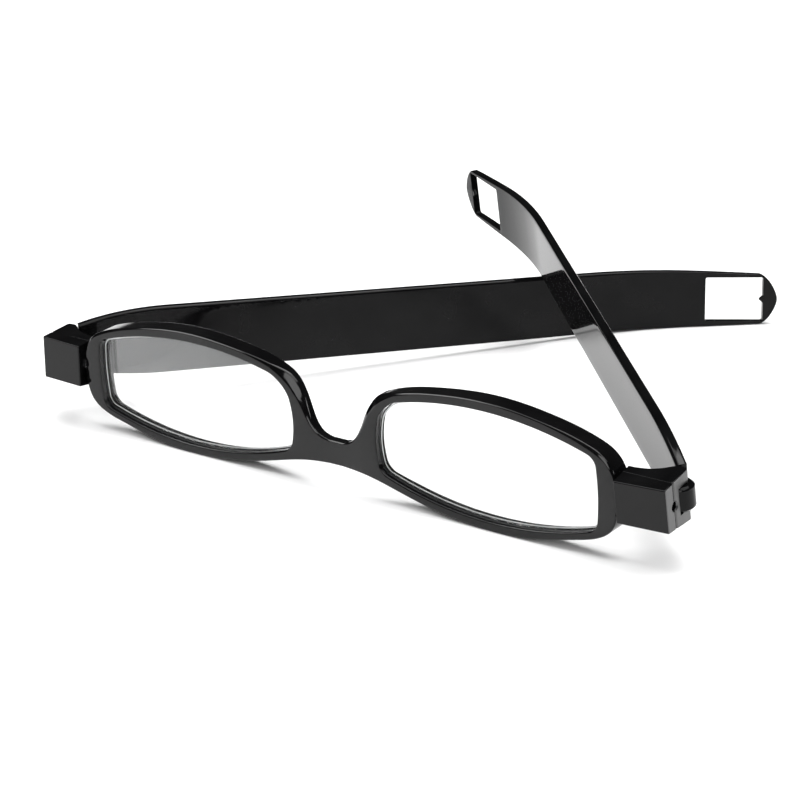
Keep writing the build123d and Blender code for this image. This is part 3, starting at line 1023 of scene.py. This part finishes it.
def floor_material():
    """Matt white card, with the faintest unevenness."""
    material, tree, bsdf = shader("white_card", Specular_IOR_Level=0.4)
    tree.links.new(tint(tree, noise(tree, scale=3), CARD_DARK, CARD_LIGHT), bsdf.inputs["Base Color"])
    tree.links.new(span(tree, noise(tree, scale=30), low=0.5, high=0.6), bsdf.inputs["Roughness"])
    return material


bm = bmesh.new()
bmesh.ops.create_grid(bm, x_segments=8, y_segments=8, size=FLOOR_SIZE)
floor = new_object("floor", bm)
floor.location.z = -FLOOR_DROP
floor.data.materials.append(floor_material())


def lamp(name, place, aim, size, radiance):
    """Rectangular white softbox whose face has about the radiance; lengths in metres."""
    light = bpy.data.lights.new(name, "AREA")
    light.shape = "RECTANGLE"
    light.size, light.size_y = size
    light.energy = radiance * pi * size[0] * size[1]
    obj = bpy.data.objects.new(name, light)
    obj.location = place
    obj.rotation_euler = (Vector(aim) - Vector(place)).to_track_quat("-Z", "Y").to_euler()
    bpy.context.scene.collection.objects.link(obj)


lamp("overhead", (0.22, -0.02, 1.30), (0.22, -0.02, 0.0), (1.9, 1.25), radiance=3.75)
lamp("key", (0.02, 0.34, 1.25), (0.0, 0.0, 0.0), (0.7, 0.6), radiance=5.0)
lamp("front_left", (-0.75, -0.45, 0.80), (0.0, 0.0, 0.0), (0.5, 0.45), radiance=8.0)
lamp("front_right", (0.50, -0.88, 0.70), (0.0, -0.05, 0.02), (0.45, 0.75), radiance=5.0)
lamp("right_side", (0.90, 0.35, 0.16), (0.0, 0.0, 0.02), (0.5, 0.25), radiance=9.0)

world = bpy.data.worlds.new("studio")
world.use_nodes = True
world.node_tree.nodes["Background"].inputs["Color"].default_value = (1, 1, 1, 1)
world.node_tree.nodes["Background"].inputs["Strength"].default_value = WORLD_STRENGTH
bpy.context.scene.world = world

camera_data = bpy.data.cameras.new("camera")
camera_data.lens = CAMERA_LENS
camera_data.sensor_width = CAMERA_SENSOR
camera_data.clip_start = CAMERA_CLIP
camera = bpy.data.objects.new("camera", camera_data)
bpy.context.scene.collection.objects.link(camera)
towards = Vector((
    sin(CAMERA_AZIMUTH) * cos(CAMERA_ELEVATION), -cos(CAMERA_AZIMUTH) * cos(CAMERA_ELEVATION),
    sin(CAMERA_ELEVATION),
))
level = Vector((cos(CAMERA_AZIMUTH), sin(CAMERA_AZIMUTH), 0))
upright = towards.cross(level)
right = level * cos(CAMERA_ROLL) + upright * sin(CAMERA_ROLL)
top = upright * cos(CAMERA_ROLL) - level * sin(CAMERA_ROLL)
swivel_centre = Vector((0, FRONT_Y, AXIS_HEIGHT)) * MM
reach = level * CAMERA_RIGHT + upright * CAMERA_UP + towards * CAMERA_DISTANCE
eye = swivel_centre + reach * MM
camera.matrix_world = Matrix.Translation(eye) @ Matrix((right, top, towards)).transposed().to_4x4()
bpy.context.scene.camera = camera

view = bpy.context.scene.view_settings
view.view_transform = "Standard"
view.look = "None"
view.exposure = 0.0

bpy.context.view_layer.update()
